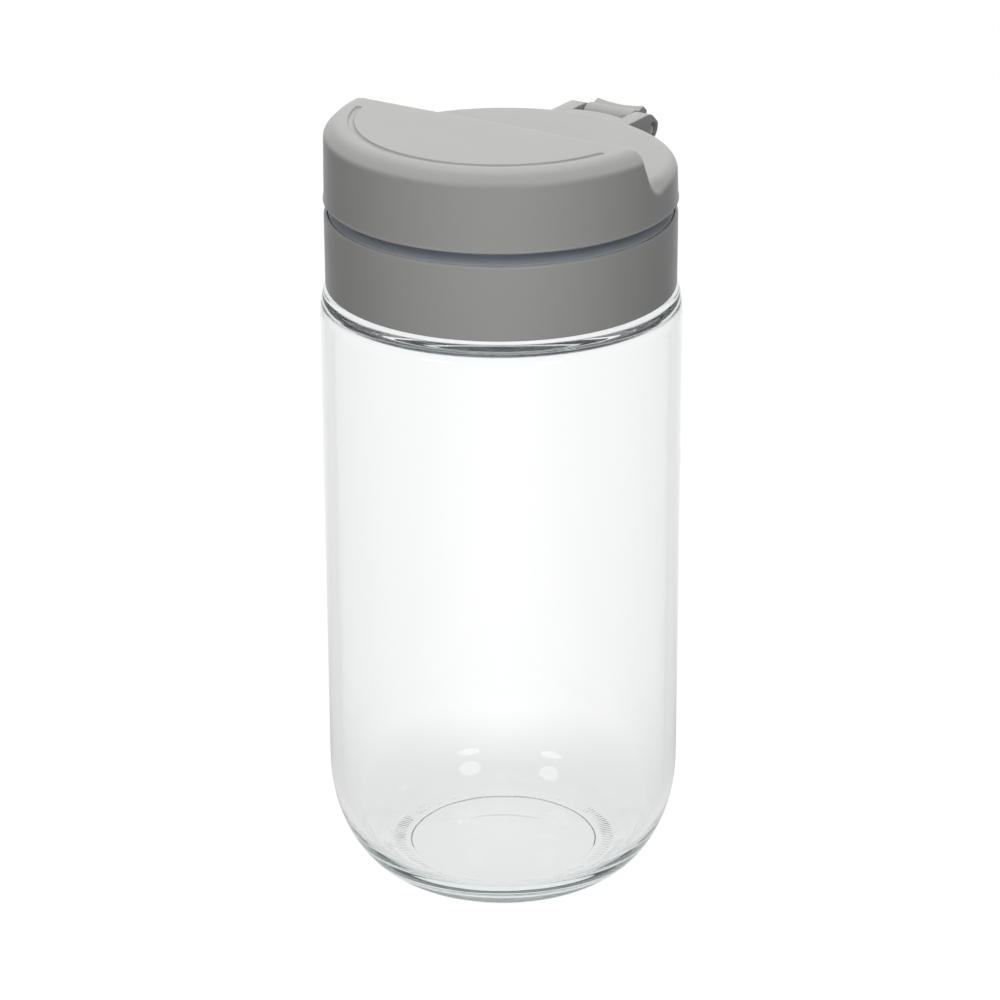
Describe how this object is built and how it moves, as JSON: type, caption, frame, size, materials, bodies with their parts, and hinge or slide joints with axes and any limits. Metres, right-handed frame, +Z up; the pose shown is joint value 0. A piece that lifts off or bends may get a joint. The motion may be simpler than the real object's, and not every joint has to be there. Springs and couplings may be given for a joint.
{
  "type": "glass storage jar",
  "caption": "Tall round-bottomed clear glass jar with a screw collar and a hinged flip cover whose front half is raised.",
  "frame": {"origin": "on the jar's axis, in the plane that its base ring stands on", "axes": "+Z up along the jar's axis, the hinge is at the back on +Y, and its pin runs along X"},
  "size_m": [0.09, 0.1033, 0.2012],
  "materials": {
    "clear_glass": "clear, polished, soda-lime glass",
    "grey_plastic": "satin moulded grey polypropylene",
    "natural_plastic": "natural, slightly bluish translucent polypropylene",
    "silicone": "translucent silicone rubber",
    "steel": "ground stainless steel rod"
  },
  "bodies": {
    "jar": {"glass_jar": "clear_glass"},
    "gasket": {"jar_gasket": "silicone"},
    "collar": {"collar_shell": "grey_plastic", "collar_liner": "natural_plastic"},
    "cover": {"cover_shell": "grey_plastic", "cover_liner": "natural_plastic", "cover_seal": "silicone", "hinge_pin": "steel"}
  },
  "joints": [
    {"name": "collar_lift", "type": "slide", "parent": "jar", "child": "gasket", "axis": [0, 0, 1], "range_m": [0, 0.0201]},
    {"name": "collar_unscrew", "type": "hinge", "parent": "gasket", "child": "collar", "pos_m": [0, 0, 0.168], "axis": [0, 0, 1], "range_deg": [0, 720]},
    {"name": "cover_flip", "type": "hinge", "parent": "collar", "child": "cover", "pos_m": [0, 0.053, 0.1861], "axis": [-1, 0, 0], "range_deg": [0, 100]}
  ],
  "couplings": [
    {"joint": "collar_lift", "follows": "collar_unscrew", "m_per_rad": 0.0015915}
  ]
}
